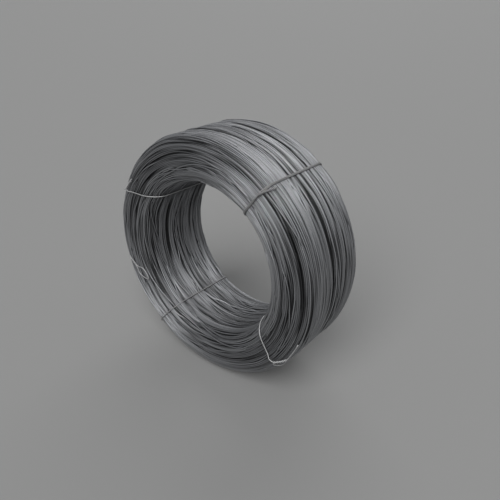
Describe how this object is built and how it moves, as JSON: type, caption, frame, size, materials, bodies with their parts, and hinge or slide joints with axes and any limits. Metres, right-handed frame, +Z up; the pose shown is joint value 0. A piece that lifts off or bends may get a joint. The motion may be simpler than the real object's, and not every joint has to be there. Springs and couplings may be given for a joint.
{
  "type": "coil of wire rod",
  "caption": "Round coil of rolled steel wire rod standing on its rim, with its turns in bundles around an open eye and twisted wire ties drawn round its section.",
  "frame": {"origin": "lowest point of the rim, under the middle of the coil's width", "axes": "+Z up, Y along the eye's axis with -Y towards the end that has the twisted tie tails"},
  "size_m": [0.9999, 0.3768, 1],
  "materials": {
    "rolled_rod": "hot-rolled grey scale, half dull",
    "tie_wire": "drawn, dark and slightly brighter on its crests"
  },
  "bodies": {
    "root": {"rod_coil": "rolled_rod", "tie_upper_right": "tie_wire", "tie_upper_left": "tie_wire", "tie_lower_left": "tie_wire", "tie_lower_right": "tie_wire", "end_binding": "tie_wire"}
  },
  "joints": []
}
